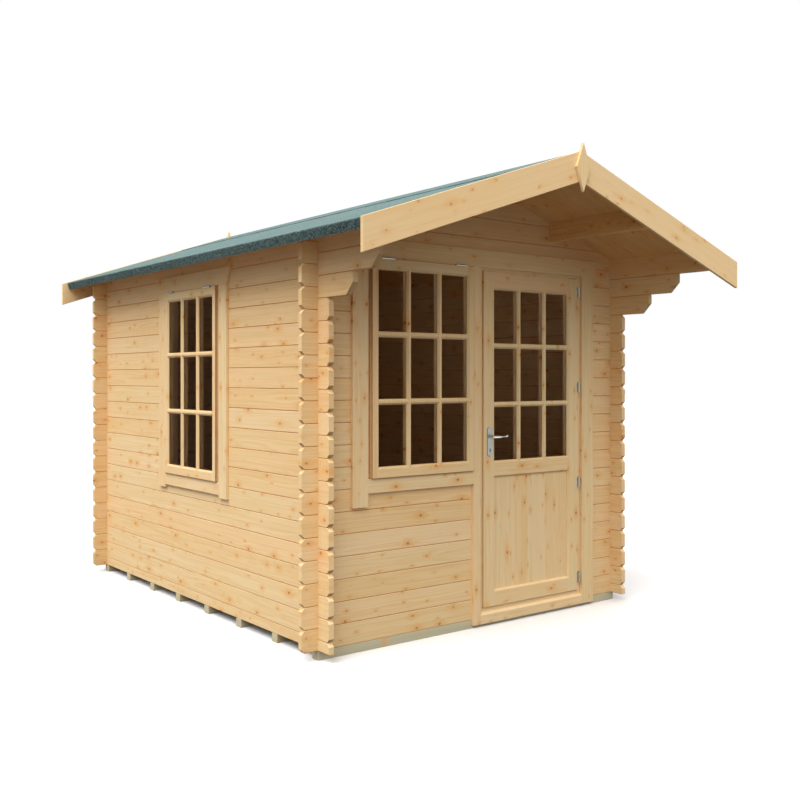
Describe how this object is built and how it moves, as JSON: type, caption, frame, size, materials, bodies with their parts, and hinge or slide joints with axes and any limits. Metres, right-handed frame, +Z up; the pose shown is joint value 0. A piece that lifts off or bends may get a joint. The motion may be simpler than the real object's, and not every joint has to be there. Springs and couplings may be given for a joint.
{
  "type": "log cabin",
  "caption": "Garden log cabin of interlocking pine logs with a deep front roof overhang, felt roof, glazed hinged door and top-hung windows.",
  "frame": {"origin": "on the ground, below the middle of the roof's width and length", "axes": "+Z up, -Y out through the front wall with the door, +X to the right of someone facing the door from outside"},
  "size_m": [2.742, 3.8544, 2.6182],
  "materials": {
    "treated_bearer": "sawn, pressure treated",
    "floor_pine": "planed",
    "log_pine": "planed, untreated",
    "roof_pine": "planed, untreated",
    "barge_pine": "planed, untreated",
    "roof_felt": "mineral granules",
    "joinery_pine": "planed, untreated",
    "glass": "clear float",
    "steel": "brushed"
  },
  "bodies": {
    "cabin": {"floor_bearers": "treated_bearer", "floor_boards": "floor_pine", "front_wall_left_logs": "log_pine", "front_wall_right_logs": "log_pine", "front_gable_logs": "log_pine", "left_wall_logs": "log_pine", "right_wall_logs": "log_pine", "back_wall_logs": "log_pine", "back_gable_logs": "log_pine", "ridge_purlin": "roof_pine", "side_purlins": "roof_pine", "roof_boards_left": "roof_pine", "roof_boards_right": "roof_pine", "eave_battens": "roof_pine", "barge_front_left": "barge_pine", "barge_front_right": "barge_pine", "barge_back_left": "barge_pine", "barge_back_right": "barge_pine", "finial_front": "barge_pine", "finial_back": "barge_pine", "roof_felt_left": "roof_felt", "roof_felt_right": "roof_felt", "ridge_felt": "roof_felt", "front_window_frame": "joinery_pine", "front_window_sash": "joinery_pine", "front_window_casing": "joinery_pine", "side_window_frame": "joinery_pine", "side_window_sash": "joinery_pine", "side_window_casing": "joinery_pine", "door_frame": "joinery_pine", "door_casing": "joinery_pine", "front_window_glass": "glass", "side_window_glass": "glass", "front_window_hinges": "steel", "side_window_hinges": "steel", "door_hinge_frame_halves": "steel"},
    "door": {"door_leaf": "joinery_pine", "door_panel": "joinery_pine", "door_glass": "glass", "door_handle_plates": "steel", "door_hinge_leaf_halves": "steel"},
    "lever": {"door_lever": "steel"}
  },
  "joints": [
    {"name": "door_hinge", "type": "hinge", "parent": "cabin", "child": "door", "pos_m": [0.7795, -1.1912, 1.066], "axis": [0, 0, 1], "range_deg": [0, 105]},
    {"name": "lever_turn", "type": "hinge", "parent": "door", "child": "lever", "pos_m": [0.0355, -1.164, 1.08], "axis": [0, 1, 0], "range_deg": [0, 40], "stiffness_Nm_per_rad": 2, "springref_deg": -14.32}
  ]
}
